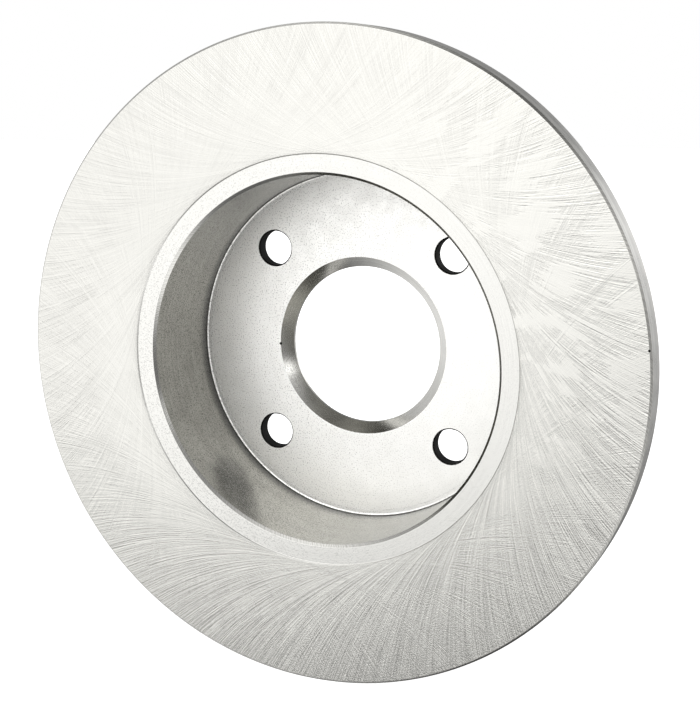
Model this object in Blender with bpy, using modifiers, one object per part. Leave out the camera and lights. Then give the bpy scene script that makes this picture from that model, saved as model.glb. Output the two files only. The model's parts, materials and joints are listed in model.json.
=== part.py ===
"""Solid brake disc: one iron casting, a friction ring carried by a deep hat that bolts to a wheel hub.

Frame: the disc spins about +Y, and +Z is up. The origin is the centre of the face that sits on the
hub. The hub and the hat's opening are on the -Y side, and the road wheel is on the +Y side.
Lengths are in metres. Every depth below is measured along +Y from the hub-side friction face.
"""

import math

import bpy

# Driving dimensions
OUTER_RADIUS = 0.126
RING_THICKNESS = 0.013
HUB_FACE_DEPTH = 0.0433
FLANGE_THICKNESS = 0.0062
PILOT_RADIUS = 0.0319
BOLT_CIRCLE_RADIUS = 0.054
BOLT_HOLE_RADIUS = 0.007
BOLT_COUNT = 4

# Friction ring
RIM_CHAMFER = 0.00085
HUB_SIDE_TRACK_RADIUS = 0.0787
WHEEL_SIDE_TRACK_RADIUS = 0.0812
LAND_DEPTH = 0.0005
LAND_EDGE_WIDTH = 0.0001
RELIEF_DEPTH = 0.0015
RELIEF_FLOOR_RADIUS = 0.0809
RELIEF_CORNER = 0.0008

# Inside of the hat
OPENING_RADIUS = 0.07175
LEAD_IN_RADIUS = 0.0712
LEAD_IN_DEPTH = 0.0027
WALL_MOUTH_RADIUS = 0.0707
WALL_MOUTH_DEPTH = 0.0029
WALL_FOOT_RADIUS = 0.0703
WALL_FOOT_FILLET = 0.0025
PILOT_CHAMFER_RADIUS = 0.03605
PILOT_CHAMFER_DEPTH = 0.0044

# Outside of the hat
HAT_ROOT_RADIUS = 0.077
HAT_ROOT_RISE = 0.001
HAT_CROWN_RADIUS = 0.076
HAT_CROWN_FILLET = 0.003
PILOT_EDGE_CHAMFER = 0.0005
HOLE_CHAMFER = 0.00055

# Mesh fineness
DISC_STEPS = 96
HOLE_STEPS = 32
FILLET_STEPS = 4
CUTTER_OVERRUN = 0.002
SHARP_ANGLE = math.radians(30)


def clear_scene():
    for obj in list(bpy.data.objects):
        bpy.data.objects.remove(obj, do_unlink=True)


def new_collection(name):
    collection = bpy.data.collections.new(name)
    bpy.context.scene.collection.children.link(collection)
    return collection


def fillet(centre, radius, start_degrees, end_degrees):
    """Points of a quarter-round corner, from the start angle to the end angle."""
    points = []
    for step in range(FILLET_STEPS + 1):
        angle = math.radians(start_degrees + (end_degrees - start_degrees) * step / FILLET_STEPS)
        points.append((centre[0] + radius * math.cos(angle), centre[1] + radius * math.sin(angle)))
    return points


def hub_side_outline():
    """(radius, depth) pairs from the bore out to the rim, over the side that faces the hub."""
    fillet_centre = (WALL_FOOT_RADIUS - WALL_FOOT_FILLET, HUB_FACE_DEPTH - WALL_FOOT_FILLET)
    outline = [
        (PILOT_RADIUS, HUB_FACE_DEPTH + PILOT_CHAMFER_DEPTH),
        (PILOT_CHAMFER_RADIUS, HUB_FACE_DEPTH),
    ]
    outline += fillet(fillet_centre, WALL_FOOT_FILLET, 90, 0)
    outline += [
        (WALL_MOUTH_RADIUS, WALL_MOUTH_DEPTH),
        (LEAD_IN_RADIUS, LEAD_IN_DEPTH),
        (OPENING_RADIUS, LAND_DEPTH),
        (HUB_SIDE_TRACK_RADIUS - LAND_EDGE_WIDTH, LAND_DEPTH),
        (HUB_SIDE_TRACK_RADIUS, 0.0),
        (OUTER_RADIUS - RIM_CHAMFER, 0.0),
        (OUTER_RADIUS, RIM_CHAMFER),
    ]
    return outline


def wheel_side_outline():
    """(radius, depth) pairs from the rim back in to the bore, over the side that faces the wheel."""
    wheel_face_depth = HUB_FACE_DEPTH + FLANGE_THICKNESS
    relief_floor_depth = RING_THICKNESS - RELIEF_DEPTH
    crown_centre = (HAT_CROWN_RADIUS - HAT_CROWN_FILLET, wheel_face_depth - HAT_CROWN_FILLET)
    outline = [
        (OUTER_RADIUS, RING_THICKNESS - RIM_CHAMFER),
        (OUTER_RADIUS - RIM_CHAMFER, RING_THICKNESS),
        (WHEEL_SIDE_TRACK_RADIUS, RING_THICKNESS),
        (RELIEF_FLOOR_RADIUS, relief_floor_depth),
        (HAT_ROOT_RADIUS + RELIEF_CORNER, relief_floor_depth),
        (HAT_ROOT_RADIUS, relief_floor_depth + RELIEF_CORNER),
        (HAT_ROOT_RADIUS, RING_THICKNESS + HAT_ROOT_RISE),
    ]
    outline += fillet(crown_centre, HAT_CROWN_FILLET, 0, 90)
    outline += [
        (PILOT_RADIUS + PILOT_EDGE_CHAMFER, wheel_face_depth),
        (PILOT_RADIUS, wheel_face_depth - PILOT_EDGE_CHAMFER),
    ]
    return outline


def turn_about_y(name, outline, closed, steps, collection):
    """A solid of revolution about +Y, from (radius, y) pairs."""
    mesh = bpy.data.meshes.new(name)
    points = [(radius, y, 0.0) for radius, y in outline]
    edges = [(index, index + 1) for index in range(len(points) - 1)]
    if closed:
        edges.append((len(points) - 1, 0))
    mesh.from_pydata(points, edges, [])
    obj = bpy.data.objects.new(name, mesh)
    collection.objects.link(obj)
    screw = obj.modifiers.new("turn", "SCREW")
    screw.axis = "Y"
    screw.angle = math.tau
    screw.steps = steps
    screw.render_steps = steps
    screw.use_merge_vertices = True
    screw.merge_threshold = 0.000001
    return obj


def bolt_hole_outline():
    """A hole with a broken edge on both faces, as (radius, y) pairs. The hub face is at y = 0."""
    flare_radius = BOLT_HOLE_RADIUS + HOLE_CHAMFER + CUTTER_OVERRUN
    return [
        (0.0, FLANGE_THICKNESS + CUTTER_OVERRUN),
        (flare_radius, FLANGE_THICKNESS + CUTTER_OVERRUN),
        (BOLT_HOLE_RADIUS, FLANGE_THICKNESS - HOLE_CHAMFER),
        (BOLT_HOLE_RADIUS, HOLE_CHAMFER),
        (flare_radius, -CUTTER_OVERRUN),
        (0.0, -CUTTER_OVERRUN),
    ]


def add_bolt_holes(disc, cutters):
    for index in range(BOLT_COUNT):
        angle = math.tau * (index + 0.5) / BOLT_COUNT
        cutter = turn_about_y(f"bolt_hole_{index + 1}", bolt_hole_outline(), False, HOLE_STEPS, cutters)
        cutter.location = (
            BOLT_CIRCLE_RADIUS * math.cos(angle),
            0.0,
            BOLT_CIRCLE_RADIUS * math.sin(angle),
        )
        cutter.hide_render = True
        cutter.display_type = "WIRE"
        cut = disc.modifiers.new(f"bolt hole {index + 1}", "BOOLEAN")
        cut.operation = "DIFFERENCE"
        cut.solver = "EXACT"
        cut.object = cutter


def apply_modifiers(obj):
    """Replaces the outline by the finished solid, so that its edges can be shaded."""
    bpy.context.view_layer.update()
    finished = obj.evaluated_get(bpy.context.evaluated_depsgraph_get())
    mesh = bpy.data.meshes.new_from_object(finished)
    mesh.name = obj.name
    obj.modifiers.clear()
    obj.data = mesh
    mesh.shade_smooth()
    mesh.set_sharp_from_angle(angle=SHARP_ANGLE)


def machined_iron():
    material = bpy.data.materials.new("machined_iron")
    material.use_nodes = True
    shader = material.node_tree.nodes["Principled BSDF"]
    shader.inputs["Base Color"].default_value = (0.62, 0.62, 0.60, 1.0)
    shader.inputs["Metallic"].default_value = 0.9
    shader.inputs["Roughness"].default_value = 0.42
    return material


def build():
    clear_scene()
    parts = new_collection("brake_disc_parts")
    cutters = new_collection("cutters")
    outline = hub_side_outline() + wheel_side_outline()
    from_hub_face = [(radius, depth - HUB_FACE_DEPTH) for radius, depth in outline]
    disc = turn_about_y("brake_disc", from_hub_face, True, DISC_STEPS, parts)
    add_bolt_holes(disc, cutters)
    apply_modifiers(disc)
    disc.data.materials.append(machined_iron())


build()
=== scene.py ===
"""Looks of a solid brake disc: one iron casting, turned and ground bright, in a white light tent.

The frame is the CAD model's: the disc spins about +Y, +Z is up, and its hat opens towards -Y.
Lengths are in metres. A depth is measured along +Y from the hub-side friction face.
"""

import json
import math

import bpy
from mathutils import Matrix, Vector, noise


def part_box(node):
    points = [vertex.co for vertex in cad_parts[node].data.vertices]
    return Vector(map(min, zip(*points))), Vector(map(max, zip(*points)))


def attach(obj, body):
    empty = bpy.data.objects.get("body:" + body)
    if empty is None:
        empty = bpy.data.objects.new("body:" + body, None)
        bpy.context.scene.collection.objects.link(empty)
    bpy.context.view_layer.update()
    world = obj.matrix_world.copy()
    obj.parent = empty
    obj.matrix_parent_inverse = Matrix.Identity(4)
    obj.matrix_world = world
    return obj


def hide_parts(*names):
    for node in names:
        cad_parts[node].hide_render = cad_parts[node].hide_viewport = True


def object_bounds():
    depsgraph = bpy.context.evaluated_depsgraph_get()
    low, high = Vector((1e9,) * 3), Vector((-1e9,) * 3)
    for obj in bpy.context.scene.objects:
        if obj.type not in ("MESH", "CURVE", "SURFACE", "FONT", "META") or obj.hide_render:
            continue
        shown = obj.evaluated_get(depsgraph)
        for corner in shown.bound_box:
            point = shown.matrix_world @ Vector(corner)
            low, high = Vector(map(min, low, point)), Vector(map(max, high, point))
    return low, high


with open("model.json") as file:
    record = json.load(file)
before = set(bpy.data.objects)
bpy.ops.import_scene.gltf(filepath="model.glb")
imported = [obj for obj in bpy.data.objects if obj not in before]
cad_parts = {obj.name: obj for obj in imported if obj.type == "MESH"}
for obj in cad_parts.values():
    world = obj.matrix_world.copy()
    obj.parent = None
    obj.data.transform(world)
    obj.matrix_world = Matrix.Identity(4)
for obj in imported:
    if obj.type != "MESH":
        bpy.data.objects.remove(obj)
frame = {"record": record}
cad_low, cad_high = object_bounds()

MM = 0.001

# Sizes that the frame gives
disc_low, disc_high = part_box("brake_disc")
mounts = {mount["name"]: Vector(mount["pos_m"]) for mount in frame["record"]["mounts"]}
FRICTION_Y = disc_low.y
OUTER_RADIUS = (disc_high.x - disc_low.x) / 2
RING_THICKNESS = mounts["wheel_side_friction_face"].y - FRICTION_Y
HUB_FACE_DEPTH = mounts["hub_face"].y - FRICTION_Y
OVERALL_DEPTH = disc_high.y - FRICTION_Y
BOLT_CIRCLE_RADIUS = mounts["hub_face"].z

# Sizes repeated from the CAD source
PILOT_RADIUS = 31.9 * MM
PILOT_CHAMFER_RADIUS = 36.05 * MM
PILOT_CHAMFER_DEPTH = 4.4 * MM
BOLT_HOLE_RADIUS = 7.0 * MM
HOLE_CHAMFER = 0.55 * MM
RIM_CHAMFER = 0.85 * MM
LAND_DEPTH = 0.5 * MM
HUB_SIDE_TRACK_RADIUS = 78.7 * MM
WHEEL_SIDE_TRACK_RADIUS = 81.2 * MM
OPENING_RADIUS = 71.75 * MM
WALL_MOUTH_RADIUS = 70.7 * MM
WALL_FOOT_RADIUS = 70.3 * MM
RELIEF_DEPTH = 1.5 * MM
RELIEF_FLOOR_RADIUS = 80.9 * MM
RELIEF_CORNER = 0.8 * MM
HAT_ROOT_RADIUS = 77.0 * MM
HAT_ROOT_RISE = 1.0 * MM
HAT_CROWN_RADIUS = 76.0 * MM
HAT_CROWN_FILLET = 3.0 * MM
PILOT_EDGE_CHAMFER = 0.5 * MM
BOLT_COUNT = 4

# Details that the CAD source leaves out or has coarser
MOUTH_CHAMFER = OPENING_RADIUS - WALL_MOUTH_RADIUS
HUB_FACE_RADIUS = 68.0 * MM
HUB_FACE_STEP = 0.08 * MM
WALL_FOOT_FILLET = 0.9 * MM
TRACK_STEP_WIDTH = 0.35 * MM
RELIEF_FLOOR_CORNER = 0.3 * MM
CAST_SWELL = 0.25 * MM
CAST_SWELL_GRAIN = 9.0 * MM
CAST_SWELL_FADE = 2.0 * MM
RIM_NICK = 0.5 * MM
RIM_NICK_ANGLE = math.radians(6)
BORE_NICK = 0.6 * MM
BORE_NICK_ANGLE = math.radians(182)

# Grinding. Each kind of scratch is (width, length), a share is its part in the whole, and a pair of
# shares or strengths is the least and the most.
GRINDING_WHEEL_RADIUS = 136.0 * MM
HAIR_NEAR_HAT = (1.3 * MM, 30 * MM)
HAIR_NEAR_RIM = (0.75 * MM, 20 * MM)
LINE_NEAR_HAT = (2.6 * MM, 50 * MM)
LINE_NEAR_RIM = (1.2 * MM, 30 * MM)
BAND = (4 * MM, 60 * MM)
STROKE = (9 * MM, 60 * MM)
SMEAR_STREAK = (3 * MM, 40 * MM)
FINE_SCRATCH_RADIUS = 112.0 * MM
FULL_SCRATCH_RADIUS = 115.0 * MM
LINE_SHARE = 0.45
BAND_SHARE = 0.14
GRAIN_SIZE = 0.45 * MM
GRAIN_SHARE = 0.2
LOW_RIGHT_LEAD = 0.35
LEAD_SPAN = (-0.45, 0.5)
RIGHT_FAMILY_SHARE = (0.28, 0.95)
SCRATCH_STRENGTH = (0.55, 1.0)
PLAIN_TONE = 0.5
SMEARED_TONE = 0.75
SCRATCH_DEPTH = 0.1 * MM
SMEAR_SIZE = 14.0 * MM
SMEAR_PULL = 24.0 * MM

# Turned and cast surfaces
BLOTCH_SIZE = 7.0 * MM
PIT_SIZE = 0.5 * MM
PIT_DEPTH = 0.1 * MM
CHATTER_PITCH = 0.35 * MM
CHATTER_DEPTH = 0.02 * MM
CHATTER_SLANT = 0.8
# The painted shade at the foot of the hat's wall starts at, and is full at, these distances from the
# hub face
FOOT_SHADE_START = 8.0 * MM
FOOT_SHADE_FULL = 1.0 * MM
CAST_SKIN_SIZE = 0.8 * MM
CAST_SKIN_DEPTH = 0.08 * MM
CAST_BLOTCH_SIZE = 9.0 * MM

# Directions on the face, as seen from the hub side
TOWARDS_LOW_RIGHT = (0.7, 0.0, -0.7)
TOWARDS_RIGHT = (0.9, 0.0, -0.44)
TOWARDS_UPPER_RIGHT = (0.9, 0.0, 0.42)

# Mesh fineness
DISC_STEPS = 320
HOLE_STEPS = 96
NICK_STEPS = 12
NICK_RINGS = 7
WALL_PIECES = 24
CAST_PIECES = 20
EDGE_ROUNDING = 0.1 * MM
FINE_ROUNDING = 0.03 * MM
SUPPORT_GAP = 0.12 * MM
DRILL_OVERRUN = 2.0 * MM
ARC_STEP = math.radians(16)
SHARP_ANGLE = math.radians(28)

# The camera, as fitted to the photo: its place in metres, and its angles in degrees
CAMERA_PLACE = (0.22213, -0.54395, 0.09899)
CAMERA_AZIMUTH = 22.67
CAMERA_ELEVATION = 9.93
CAMERA_LENS = 74.75
CAMERA_SENSOR_WIDTH = 36

# The light tent, with the elevations in degrees between which the table's edge fades
TABLE_EDGE_LOW = -22
TABLE_EDGE_HIGH = -19
TENT_GLOW = 0.02
FLOOR_HALF_WIDTH = 6.0

# The disc's surfaces, in the order of its material slots
GROUND, TURNED, HUB_FACE, WALL, CHAMFER, BORE, RIM, DRILLED, CAST = range(9)

# The places of a mix node's two inputs and its output, for each kind of value
MIX_SOCKETS = {"FLOAT": (2, 3, 0), "VECTOR": (4, 5, 1), "RGBA": (6, 7, 2)}


def rounded_outline(corners):
    """Rounds the corners of a closed outline of (radius, depth, rounding, surface, pieces).

    A corner's surface and number of pieces are those of the side that follows it.
    Returns the points and, for each point, the surface of the stretch that follows it.
    """
    points = []
    surfaces = []
    count = len(corners)
    for index, (radius, depth, rounding, surface, pieces) in enumerate(corners):
        here = Vector((radius, depth))
        before = Vector(corners[index - 1][:2])
        after = Vector(corners[(index + 1) % count][:2])
        into = (here - before).normalized()
        out = (after - here).normalized()
        turn = math.atan2(into.cross(out), into.dot(out))
        cut = rounding * math.tan(abs(turn) / 2)
        start = here - into * cut
        centre = start + Vector((-into.y, into.x)) * math.copysign(rounding, turn)
        arc_steps = max(2, math.ceil(abs(turn) / ARC_STEP))
        previous_surface = corners[index - 1][3]
        points.append(start - into * SUPPORT_GAP)
        surfaces.append(previous_surface)
        for step in range(arc_steps + 1):
            spin = Matrix.Rotation(turn * step / arc_steps, 2)
            points.append(centre + spin @ (start - centre))
            surfaces.append(previous_surface if step < arc_steps / 2 else surface)
        side_start = here + out * (cut + SUPPORT_GAP)
        points.append(side_start)
        surfaces.append(surface)
        if pieces > 1:
            side_end = after - out * (corners[(index + 1) % count][2] + SUPPORT_GAP * 2)
            for piece in range(1, pieces):
                points.append(side_start.lerp(side_end, piece / pieces))
                surfaces.append(surface)
    return points, surfaces


def disc_outline():
    """The disc's half section, from the bore out over the hub side and back over the wheel side."""
    edge = EDGE_ROUNDING
    ring = RING_THICKNESS
    relief = ring - RELIEF_DEPTH
    foot_depth = HUB_FACE_DEPTH - HUB_FACE_STEP
    return [
        (PILOT_RADIUS, OVERALL_DEPTH - PILOT_EDGE_CHAMFER, edge, BORE, 1),
        (PILOT_RADIUS, HUB_FACE_DEPTH + PILOT_CHAMFER_DEPTH, edge, BORE, 1),
        (PILOT_CHAMFER_RADIUS, HUB_FACE_DEPTH, edge, HUB_FACE, 1),
        (HUB_FACE_RADIUS, HUB_FACE_DEPTH, FINE_ROUNDING, HUB_FACE, 1),
        (HUB_FACE_RADIUS + HUB_FACE_STEP, foot_depth, FINE_ROUNDING, HUB_FACE, 1),
        (WALL_FOOT_RADIUS, foot_depth, WALL_FOOT_FILLET, WALL, WALL_PIECES),
        (WALL_MOUTH_RADIUS, LAND_DEPTH + MOUTH_CHAMFER, edge, CHAMFER, 1),
        (OPENING_RADIUS, LAND_DEPTH, edge, TURNED, 1),
        (HUB_SIDE_TRACK_RADIUS - TRACK_STEP_WIDTH, LAND_DEPTH, edge, TURNED, 1),
        (HUB_SIDE_TRACK_RADIUS, 0.0, edge, GROUND, 1),
        (OUTER_RADIUS - RIM_CHAMFER, 0.0, edge, CHAMFER, 1),
        (OUTER_RADIUS, RIM_CHAMFER, edge, RIM, 1),
        (OUTER_RADIUS, ring - RIM_CHAMFER, edge, RIM, 1),
        (OUTER_RADIUS - RIM_CHAMFER, ring, edge, GROUND, 1),
        (WHEEL_SIDE_TRACK_RADIUS, ring, edge, TURNED, 1),
        (RELIEF_FLOOR_RADIUS, relief, RELIEF_FLOOR_CORNER, TURNED, 1),
        (HAT_ROOT_RADIUS, relief, RELIEF_CORNER, TURNED, 1),
        (HAT_ROOT_RADIUS, ring + HAT_ROOT_RISE, edge, CAST, CAST_PIECES),
        (HAT_CROWN_RADIUS, OVERALL_DEPTH, HAT_CROWN_FILLET, TURNED, 1),
        (PILOT_RADIUS + PILOT_EDGE_CHAMFER, OVERALL_DEPTH, edge, BORE, 1),
    ]


def around_axis(radius, y, angle):
    """The place at a radius from the disc's axis, with the angle turning from +X towards +Z."""
    return Vector((radius * math.cos(angle), y, radius * math.sin(angle)))


def turned_mesh(name, points, surfaces, steps, closed):
    """A solid turned about +Y from (radius, y) points, with a material slot for each surface.

    A closed outline makes a ring. An open one makes a solid with a flat cap at each end.
    """
    count = len(points)
    vertices = []
    for step in range(steps):
        angle = math.tau * step / steps
        for radius, y in points:
            vertices.append(around_axis(radius, y, angle))
    faces = []
    slots = []
    for step in range(steps):
        here = step * count
        there = (step + 1) % steps * count
        for index in range(count if closed else count - 1):
            onward = (index + 1) % count
            faces.append((here + index, here + onward, there + onward, there + index))
            slots.append(surfaces[index])
    if not closed:
        faces.append([step * count for step in range(steps)])
        faces.append([step * count + count - 1 for step in reversed(range(steps))])
        slots += [surfaces[0], surfaces[0]]
    mesh = bpy.data.meshes.new(name)
    mesh.from_pydata(vertices, [], faces)
    mesh.polygons.foreach_set("material_index", slots)
    mesh.update()
    return mesh


def ripple(mesh):
    """Gives the hat's cast outside a shallow swell that fades out at both ends of its wall."""
    near_depth = RING_THICKNESS + HAT_ROOT_RISE
    far_depth = OVERALL_DEPTH - HAT_CROWN_FILLET
    for vertex in mesh.vertices:
        radial = Vector((vertex.co.x, 0, vertex.co.z))
        depth = vertex.co.y - FRICTION_Y
        inside = min(depth - near_depth, far_depth - depth)
        if inside > 0 and HAT_CROWN_RADIUS - MM < radial.length < HAT_ROOT_RADIUS + MM:
            height = noise.noise(vertex.co / CAST_SWELL_GRAIN) * CAST_SWELL
            vertex.co += radial.normalized() * height * min(1.0, inside / CAST_SWELL_FADE)


def drill(angle):
    """A drill for one bolt hole, with a flare at both faces of the flange."""
    flare = BOLT_HOLE_RADIUS + HOLE_CHAMFER + DRILL_OVERRUN
    hub_y = FRICTION_Y + HUB_FACE_DEPTH
    wheel_y = FRICTION_Y + OVERALL_DEPTH
    points = [
        Vector((flare, hub_y - DRILL_OVERRUN)),
        Vector((BOLT_HOLE_RADIUS, hub_y + HOLE_CHAMFER)),
        Vector((BOLT_HOLE_RADIUS, wheel_y - HOLE_CHAMFER)),
        Vector((flare, wheel_y + DRILL_OVERRUN)),
    ]
    mesh = turned_mesh("drill", points, [DRILLED] * len(points), HOLE_STEPS, closed=False)
    mesh.transform(Matrix.Translation(around_axis(BOLT_CIRCLE_RADIUS, 0, angle)))
    return mesh


def ball_outline(radius):
    """The half section of a ball as (radius, y) points, without its poles."""
    angles = [math.pi * (ring + 0.5) / NICK_RINGS for ring in range(NICK_RINGS)]
    return [Vector((radius * math.sin(angle), -radius * math.cos(angle))) for angle in angles]


def nick(radius, depth, angle, size):
    """A small knock in an edge, cut by a ball."""
    points = ball_outline(size)
    mesh = turned_mesh("nick", points, [DRILLED] * len(points), NICK_STEPS, closed=False)
    mesh.transform(Matrix.Translation(around_axis(radius, FRICTION_Y + depth, angle)))
    return mesh


def cut(disc, meshes):
    """Takes the meshes out of the disc. Their slots are the disc's."""
    for mesh in meshes:
        for material in disc.data.materials:
            mesh.materials.append(material)
        cutter = bpy.data.objects.new(mesh.name, mesh)
        bpy.context.scene.collection.objects.link(cutter)
        modifier = disc.modifiers.new(mesh.name, "BOOLEAN")
        modifier.operation = "DIFFERENCE"
        modifier.solver = "EXACT"
        modifier.object = cutter
        bpy.context.view_layer.objects.active = disc
        bpy.ops.object.modifier_apply(modifier=modifier.name)
        bpy.data.objects.remove(cutter)


def make_disc():
    """The whole casting: turned from its outline, then drilled and knocked."""
    points, surfaces = rounded_outline(disc_outline())
    placed = [Vector((point.x, point.y + FRICTION_Y)) for point in points]
    mesh = turned_mesh("brake_disc_casting", placed, surfaces, DISC_STEPS, closed=True)
    ripple(mesh)
    for material in disc_materials():
        mesh.materials.append(material)
    disc = bpy.data.objects.new("brake_disc_casting", mesh)
    bpy.context.scene.collection.objects.link(disc)
    bolt_angles = [math.tau * (bolt + 0.5) / BOLT_COUNT for bolt in range(BOLT_COUNT)]
    cut(disc, [drill(angle) for angle in bolt_angles])
    rim_nick = nick(OUTER_RADIUS - RIM_CHAMFER, 0, RIM_NICK_ANGLE, RIM_NICK)
    bore_nick = nick(PILOT_CHAMFER_RADIUS, HUB_FACE_DEPTH, BORE_NICK_ANGLE, BORE_NICK)
    cut(disc, [rim_nick, bore_nick])
    disc.data.shade_smooth()
    disc.data.set_sharp_from_angle(angle=SHARP_ANGLE)
    return disc


class Nodes:
    """A node tree that is filled by short calls. Each call returns an output socket."""

    def __init__(self, tree):
        self.tree = tree

    def add(self, kind, *inputs, **settings):
        node = self.tree.nodes.new(kind)
        for name, value in settings.items():
            setattr(node, name, value)
        for index, value in enumerate(inputs):
            self.feed(node.inputs[index], value)
        return node

    def feed(self, socket, value):
        if isinstance(value, bpy.types.NodeSocket):
            self.tree.links.new(value, socket)
        elif value is not None:
            socket.default_value = value

    def math(self, operation, first, second=None, third=None, clamp=False):
        node = self.add("ShaderNodeMath", first, second, third, operation=operation, use_clamp=clamp)
        return node.outputs[0]

    def vector(self, operation, first, second=None):
        node = self.add("ShaderNodeVectorMath", first, second, operation=operation)
        return node.outputs["Value" if operation in ("LENGTH", "DOT_PRODUCT") else "Vector"]

    def scaled(self, vector, factor):
        node = self.add("ShaderNodeVectorMath", vector, operation="SCALE")
        self.feed(node.inputs["Scale"], factor)
        return node.outputs["Vector"]

    def remap(self, value, low, high, new_low=0.0, new_high=1.0):
        """Carries low..high to new_low..new_high, easing at both ends."""
        node = self.add("ShaderNodeMapRange", value, low, high, new_low, new_high)
        node.interpolation_type = "SMOOTHSTEP"
        return node.outputs["Result"]

    def contrast(self, value, reach):
        """Stretches what lies within the reach of 0.5 to the whole range from 0 to 1."""
        return self.remap(value, 0.5 - reach, 0.5 + reach)

    def noise(self, vector, grain, detail=2.0, fineness=0.5):
        """A noise from 0 to 1 whose largest blotches are about one grain across.

        Each step of detail halves their size, and fineness is how strongly the smaller ones show.
        """
        node = self.add("ShaderNodeTexNoise")
        self.feed(node.inputs["Vector"], vector)
        node.inputs["Scale"].default_value = 1 / grain
        node.inputs["Detail"].default_value = detail
        node.inputs["Roughness"].default_value = fineness
        return node.outputs["Fac"]

    def mix(self, kind, first, second, share):
        """Between the first and the second, by the second's share."""
        first_socket, second_socket, output = MIX_SOCKETS[kind]
        node = self.add("ShaderNodeMix", share, data_type=kind)
        self.feed(node.inputs[first_socket], first)
        self.feed(node.inputs[second_socket], second)
        return node.outputs[output]

    def mean(self, first, second, share):
        return self.mix("FLOAT", first, second, share)

    def vector_mean(self, first, second, share):
        return self.mix("VECTOR", first, second, share)

    def blend(self, first, second, share):
        return self.mix("RGBA", first, second, share)


class Surface(Nodes):
    """A metal material, with the place of each point on the disc ready for use."""

    def __init__(self, name):
        self.material = bpy.data.materials.new(name)
        self.material.use_nodes = True
        super().__init__(self.material.node_tree)
        self.shader = self.tree.nodes["Principled BSDF"]
        self.shader.inputs["Metallic"].default_value = 1.0
        self.place = self.add("ShaderNodeTexCoord").outputs["Object"]
        self.flat = self.vector("MULTIPLY", self.place, (1, 0, 1))
        self.radius = self.vector("LENGTH", self.flat)
        self.outward = self.vector("NORMALIZE", self.flat)
        self.y = self.add("ShaderNodeSeparateXYZ", self.place).outputs["Y"]

    def bump(self, height, depth):
        node = self.add("ShaderNodeBump")
        node.inputs["Strength"].default_value = 1.0
        node.inputs["Distance"].default_value = depth
        self.feed(node.inputs["Height"], height)
        return node.outputs["Normal"]

    def brush(self, strength, across):
        """Spreads the reflection across the direction that the surface's marks run in."""
        self.shader.inputs["Anisotropic"].default_value = strength
        self.feed(self.shader.inputs["Tangent"], across)

    def finish(self, colour, roughness, normal):
        self.feed(self.shader.inputs["Base Color"], colour)
        self.feed(self.shader.inputs["Roughness"], roughness)
        self.feed(self.shader.inputs["Normal"], normal)
        return self.material


def grey(level, warmth):
    """A light level as a colour whose blue falls short by the warmth."""
    return (level * (1 + 0.2 * warmth), level, level * (1 - warmth), 1.0)


class ScratchFamily:
    """The grinding scratches that lean to one side.

    A scratch is an arc of the grinding wheel's edge, which just reaches in to the hub-side track's
    inner edge. A point lies on two such arcs, one for each side of its own radius. The middle of its
    arc is the same all along the arc, so a noise read there makes long scratches.
    """

    def __init__(self, surface, side):
        self.surface = surface
        self.side = side
        centre_radius = HUB_SIDE_TRACK_RADIUS + GRINDING_WHEEL_RADIUS
        squares = surface.math("MULTIPLY", surface.radius, surface.radius)
        above = surface.math("ADD", squares, centre_radius ** 2 - GRINDING_WHEEL_RADIUS ** 2)
        below = surface.math("MULTIPLY", surface.radius, 2 * centre_radius)
        lean = surface.math("ARCCOSINE", surface.math("DIVIDE", above, below, clamp=True))
        turn = surface.add("ShaderNodeVectorRotate", rotation_type="Y_AXIS")
        surface.feed(turn.inputs["Vector"], surface.scaled(surface.outward, centre_radius))
        surface.feed(turn.inputs["Angle"], surface.math("MULTIPLY", lean, side))
        self.middle = turn.outputs["Vector"]
        self.across = surface.vector("NORMALIZE", surface.vector("SUBTRACT", surface.flat, self.middle))

    def marks(self, width, length):
        """Streaks of one width and length, from 0 to 1."""
        travel = self.surface.math("MULTIPLY", self.surface.radius, width / length)
        drift = self.surface.add("ShaderNodeCombineXYZ", self.side, travel, 0.0).outputs["Vector"]
        along = self.surface.vector("ADD", self.middle, drift)
        return self.surface.noise(along, width, detail=0.0)

    def scratches(self):
        """Scratches of all widths together, as a height from 0 to 1.

        The arcs crowd together towards the hat, so the wider ones take over there.
        """
        surface = self.surface
        outer = surface.remap(surface.radius, HUB_SIDE_TRACK_RADIUS, FINE_SCRATCH_RADIUS)
        hair = surface.mean(self.marks(*HAIR_NEAR_HAT), self.marks(*HAIR_NEAR_RIM), outer)
        line = surface.mean(self.marks(*LINE_NEAR_HAT), self.marks(*LINE_NEAR_RIM), outer)
        band = self.marks(*BAND)
        fine = surface.mean(surface.contrast(hair, 0.08), surface.contrast(line, 0.1), LINE_SHARE)
        return surface.mean(fine, surface.contrast(band, 0.15), BAND_SHARE)


def smears(surface, family):
    """1 where wiping has left the ground face smooth, mostly at its upper right, and 0 elsewhere.

    The edges of the smears are dragged out along the family's scratches.
    """
    pull = surface.math("MULTIPLY", family.marks(*SMEAR_STREAK), SMEAR_PULL)
    dragged = surface.vector("ADD", surface.place, surface.scaled(surface.outward, pull))
    patches = surface.remap(surface.noise(dragged, SMEAR_SIZE, detail=4.0), 0.46, 0.58)
    upper_right = surface.vector("DOT_PRODUCT", surface.outward, TOWARDS_UPPER_RIGHT)
    return surface.math("MULTIPLY", patches, surface.remap(upper_right, 0.5, 1.0, 0.15, 0.75))


def crossing_scratches(surface, left, right):
    """Both families' scratches, in strokes where one or the other leads.

    The right family leads at the lower right of the face.
    """
    low_right = surface.vector("DOT_PRODUCT", surface.outward, TOWARDS_LOW_RIGHT)
    strokes = surface.math("SUBTRACT", right.marks(*STROKE), left.marks(*STROKE))
    lead = surface.math("MULTIPLY_ADD", low_right, LOW_RIGHT_LEAD, strokes)
    right_share = surface.remap(lead, *LEAD_SPAN, *RIGHT_FAMILY_SHARE)
    return surface.mean(left.scratches(), right.scratches(), right_share)


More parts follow.
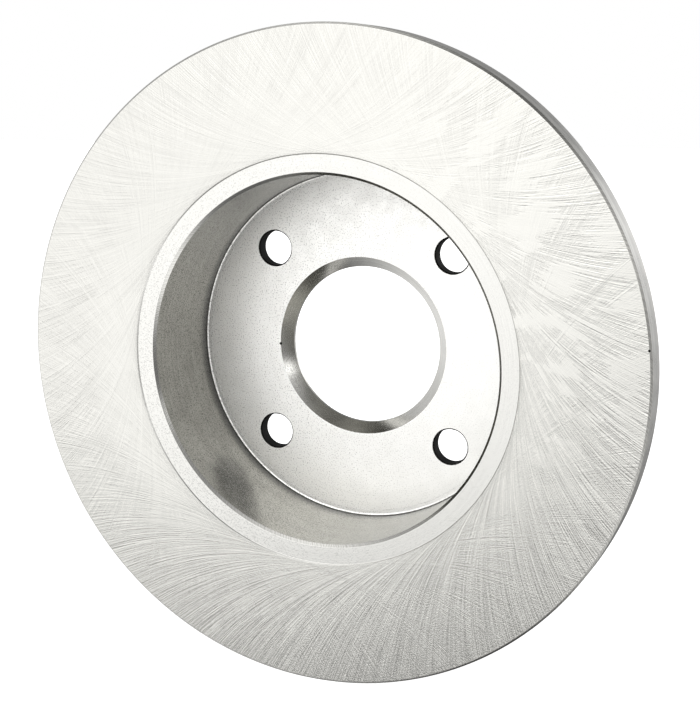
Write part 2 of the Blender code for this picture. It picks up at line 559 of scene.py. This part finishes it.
def scratch_strength(surface):
    """How strongly the scratches show, up to 1: most towards the rim and on the right."""
    inner, outer = HUB_SIDE_TRACK_RADIUS, FULL_SCRATCH_RADIUS
    rim_strength = surface.remap(surface.radius, inner, outer, *SCRATCH_STRENGTH)
    rightward = surface.vector("DOT_PRODUCT", surface.outward, TOWARDS_RIGHT)
    right_strength = surface.remap(rightward, -0.2, 0.9, *SCRATCH_STRENGTH)
    return surface.math("MULTIPLY", rim_strength, right_strength)


def ground_iron():
    """The friction faces: two crossing families of grinding scratches over bright iron."""
    surface = Surface("ground_iron")
    left = ScratchFamily(surface, 1.0)
    right = ScratchFamily(surface, -1.0)
    scratches = crossing_scratches(surface, left, right)
    grain = surface.contrast(surface.noise(surface.place, GRAIN_SIZE, detail=1.0), 0.2)
    rough = surface.mean(scratches, grain, GRAIN_SHARE)
    scratched = surface.mean(PLAIN_TONE, rough, scratch_strength(surface))
    tone = surface.mean(scratched, SMEARED_TONE, smears(surface, right))
    surface.brush(0.5, surface.vector_mean(left.across, right.across, 0.65))
    colour = surface.blend(grey(0.52, 0.05), grey(0.74, 0.05), tone)
    return surface.finish(colour, 0.2, surface.bump(tone, SCRATCH_DEPTH))


def turning_marks(surface, pitch):
    """Rings around the disc's axis, about one pitch apart, that change slowly on their way round."""
    section = surface.add("ShaderNodeCombineXYZ", surface.radius, surface.y, 0.0).outputs["Vector"]
    slow_change = surface.scaled(surface.place, 0.01)
    return surface.noise(surface.vector("ADD", section, slow_change), pitch, detail=2.0)


def turned_iron(name, light, dark, pitch, roughness, pitting, warmth=0.04, shade=None):
    """Iron with fine turning marks, soft blotches and fine pits, which are strongest on the left.

    Light and dark are the levels of the colour between the pits. The pitting, from 0 to 1, is how dark
    and deep the pits are. The shade is a function that changes the colour by place, such as painted
    shade at the wall's foot.
    """
    surface = Surface(name)
    marks = turning_marks(surface, pitch)
    blotches = surface.noise(surface.place, BLOTCH_SIZE, detail=4.0)
    tone = surface.contrast(surface.mean(marks, blotches, 0.4), 0.15)
    specks = surface.remap(surface.noise(surface.place, PIT_SIZE, detail=1.0), 0.56, 0.68)
    sideways = surface.vector("DOT_PRODUCT", surface.place, (1.0, 0.0, 0.0))
    pits = surface.math("MULTIPLY", specks, surface.remap(sideways, -40 * MM, 50 * MM, 1.0, 0.3))
    clean = surface.blend(grey(dark, warmth), grey(light, warmth), tone)
    colour = surface.blend(clean, grey(dark * (1 - pitting), warmth), pits)
    if shade:
        colour = shade(surface, colour)
    height = surface.math("SUBTRACT", surface.math("MULTIPLY", marks, 0.2), pits)
    rough = surface.remap(blotches, 0.3, 0.7, roughness * 0.9, roughness * 1.1)
    return surface.finish(colour, rough, surface.bump(height, pitting * PIT_DEPTH))


def painted_foot_shade(surface, colour):
    """Paints shade into the wall's colour: darkens the last few millimetres of the hat's wall before
    the hub face, as shade in the corner.
    """
    hub_y = FRICTION_Y + HUB_FACE_DEPTH
    nearness = surface.remap(surface.y, hub_y - FOOT_SHADE_START, hub_y - FOOT_SHADE_FULL)
    # Painted shade: the wall's colour goes near black towards its corner with the hub face
    return surface.blend(colour, grey(0.1, 0.05), nearness)


def chamfer_iron():
    """The hub-side chamfers at the rim and the hat's mouth, with the tool's slanting chatter marks."""
    surface = Surface("chamfer_iron")
    coordinates = surface.add("ShaderNodeSeparateXYZ", surface.place).outputs
    turn = surface.math("ARCTAN2", coordinates["Z"], coordinates["X"])
    around = surface.math("MULTIPLY", turn, OPENING_RADIUS)
    slant = surface.math("MULTIPLY", surface.y, CHATTER_SLANT)
    slanted = surface.math("ADD", around, slant)
    across = surface.add("ShaderNodeCombineXYZ", slanted, 0.0, 0.0).outputs["Vector"]
    chatter = surface.noise(across, CHATTER_PITCH, detail=2.0)
    colour = surface.blend(grey(0.34, 0.05), grey(0.6, 0.05), surface.contrast(chatter, 0.15))
    return surface.finish(colour, 0.12, surface.bump(chatter, CHATTER_DEPTH))


def cast_iron():
    """The hat's outside, left rough and dull as it was cast."""
    surface = Surface("cast_iron")
    skin = surface.noise(surface.place, CAST_SKIN_SIZE, detail=3.0)
    blotches = surface.noise(surface.place, CAST_BLOTCH_SIZE, detail=3.0)
    tone = surface.contrast(surface.mean(skin, blotches, 0.5), 0.15)
    colour = surface.blend(grey(0.38, 0.03), grey(0.5, 0.03), tone)
    rough = surface.remap(blotches, 0.3, 0.7, 0.5, 0.65)
    return surface.finish(colour, rough, surface.bump(skin, CAST_SKIN_DEPTH))


def hub_face_iron():
    return turned_iron(
        "hub_face_iron", light=0.99, dark=0.95, pitch=0.4 * MM, roughness=0.45, pitting=0.4, warmth=0.03
    )


def hat_wall_iron():
    return turned_iron(
        "hat_wall_iron", light=0.365, dark=0.27, pitch=0.6 * MM, roughness=0.23, pitting=0.5,
        # The wall's colour gets painted shade at its foot
        warmth=0.09, shade=painted_foot_shade,
    )


def bore_iron():
    return turned_iron(
        "bore_iron", light=0.71, dark=0.59, pitch=0.2 * MM, roughness=0.12, pitting=0.05
    )


def rim_iron():
    return turned_iron("rim_iron", light=0.8, dark=0.6, pitch=1.2 * MM, roughness=0.3, pitting=0.15)


def painted_shade_drilled_iron():
    """The inside of the bolt holes and of the knocks, coloured near black as painted shade."""
    # Near-black levels paint the shade inside the holes and knocks
    return turned_iron(
        "painted_shade_drilled_iron", light=0.03, dark=0.015, pitch=0.2 * MM, roughness=0.7, pitting=0.2
    )


def plain_turned_iron():
    return turned_iron(
        "turned_iron", light=0.72, dark=0.67, pitch=0.3 * MM, roughness=0.24, pitting=0.1
    )


def disc_materials():
    """The material of each surface, in the order of the disc's slots."""
    return [
        ground_iron(),
        plain_turned_iron(),
        hub_face_iron(),
        hat_wall_iron(),
        chamfer_iron(),
        bore_iron(),
        rim_iron(),
        painted_shade_drilled_iron(),
        cast_iron(),
    ]


def direction(azimuth, elevation):
    """The way out from the disc at two angles in degrees. Azimuth 0 is -Y, and turns towards +X."""
    turn = math.radians(azimuth)
    rise = math.radians(elevation)
    level = math.cos(rise)
    return Vector((math.sin(turn) * level, -math.cos(turn) * level, math.sin(rise)))


def add_camera():
    """The camera stands to the right of the hub side and a little above the disc's middle."""
    lens = bpy.data.cameras.new("camera")
    lens.lens = CAMERA_LENS
    lens.sensor_width = CAMERA_SENSOR_WIDTH
    view = -direction(CAMERA_AZIMUTH, CAMERA_ELEVATION)
    camera = bpy.data.objects.new("camera", lens)
    camera.location = CAMERA_PLACE
    camera.rotation_mode = "QUATERNION"
    camera.rotation_quaternion = view.to_track_quat("-Z", "Y")
    bpy.context.scene.collection.objects.link(camera)
    bpy.context.scene.camera = camera


def add_floor():
    """A pale floor that glows, so that it has no horizon against the white tent."""
    half = FLOOR_HALF_WIDTH
    z = cad_low.z
    corners = [(-half, -half, z), (half, -half, z), (half, half, z), (-half, half, z)]
    mesh = bpy.data.meshes.new("floor")
    mesh.from_pydata(corners, [], [(0, 1, 2, 3)])
    floor = bpy.data.objects.new("floor", mesh)
    material = bpy.data.materials.new("pale_floor")
    material.use_nodes = True
    shader = material.node_tree.nodes["Principled BSDF"]
    shader.inputs["Base Color"].default_value = (0.9, 0.9, 0.9, 1.0)
    shader.inputs["Roughness"].default_value = 0.9
    shader.inputs["Emission Color"].default_value = (1, 1, 1, 1)
    shader.inputs["Emission Strength"].default_value = 0.8
    mesh.materials.append(material)
    bpy.context.scene.collection.objects.link(floor)
    floor.visible_glossy = False
    floor.visible_diffuse = False


def panel_light(tent, looking, panels):
    """The light of soft round panels in the direction that the tent is looked at."""
    light = TENT_GLOW
    for azimuth, elevation, spread, strength in panels:
        nearness = tent.vector("DOT_PRODUCT", looking, direction(azimuth, elevation))
        falloff = tent.math("DIVIDE", tent.math("SUBTRACT", nearness, 1.0), math.radians(spread) ** 2)
        light = tent.math("MULTIPLY_ADD", tent.math("EXPONENT", falloff), strength, light)
    return light


def add_light_tent():
    """Soft round panels around the disc. Only reflections see them: the camera sees plain white.

    The front panels are cut off low down, as if by the edge of a dark table.
    """
    # Each panel is (azimuth, elevation, spread, strength), with its angles in degrees
    front = [
        (-14, 20, 22, 1.3),
        (-14, 42, 20, 1.7),
        (-40, -4, 14, 0.6),
        (8, -2, 12, 0.75),
        (-22, -14, 7, 0.9),
        (-40, -14, 8, 0.45),
        (26, -4, 14, 0.3),
    ]
    around = [
        (65, 16, 5, 1.7),
        (66, 30, 14, 0.5),
        (61, -43, 15, 1.6),
        (30, -40, 16, 0.35),
        (24, -24, 12, 0.6),
        (-10, -52, 12, 1.6),
        (-56, -30, 9, 0.8),
        (-66, 65, 16, 0.8),
        (-110, -10, 26, 0.6),
        (-110, 40, 26, 0.45),
        (-110, -40, 26, 0.55),
        (110, 0, 24, 1.1),
        (130, 30, 20, 0.4),
        (157, 0, 16, 0.4),
        (158, 11, 6, 1.3),
        (-169, 22, 18, 0.12),
    ]
    world = bpy.data.worlds.new("light_tent")
    world.use_nodes = True
    tent = Nodes(world.node_tree)
    looking = tent.vector("NORMALIZE", tent.add("ShaderNodeTexCoord").outputs["Generated"])
    height = tent.add("ShaderNodeSeparateXYZ", looking).outputs["Z"]
    low_edge = math.sin(math.radians(TABLE_EDGE_LOW))
    high_edge = math.sin(math.radians(TABLE_EDGE_HIGH))
    above_table = tent.remap(height, low_edge, high_edge)
    front_light = tent.math("MULTIPLY", panel_light(tent, looking, front), above_table)
    light = tent.math("ADD", front_light, panel_light(tent, looking, around))
    seen = tent.add("ShaderNodeLightPath").outputs["Is Camera Ray"]
    background = world.node_tree.nodes["Background"]
    tent.feed(background.inputs["Color"], (1.0, 1.0, 1.0, 1.0))
    tent.feed(background.inputs["Strength"], tent.mean(light, 1.0, seen))
    bpy.context.scene.world = world


def show_true_colours():
    """Keeps the background white and the iron's contrast, with no film-like tone curve."""
    bpy.context.scene.view_settings.view_transform = "Standard"


disc = make_disc()
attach(disc, "root")
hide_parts("brake_disc")
add_floor()
add_light_tent()
add_camera()
show_true_colours()
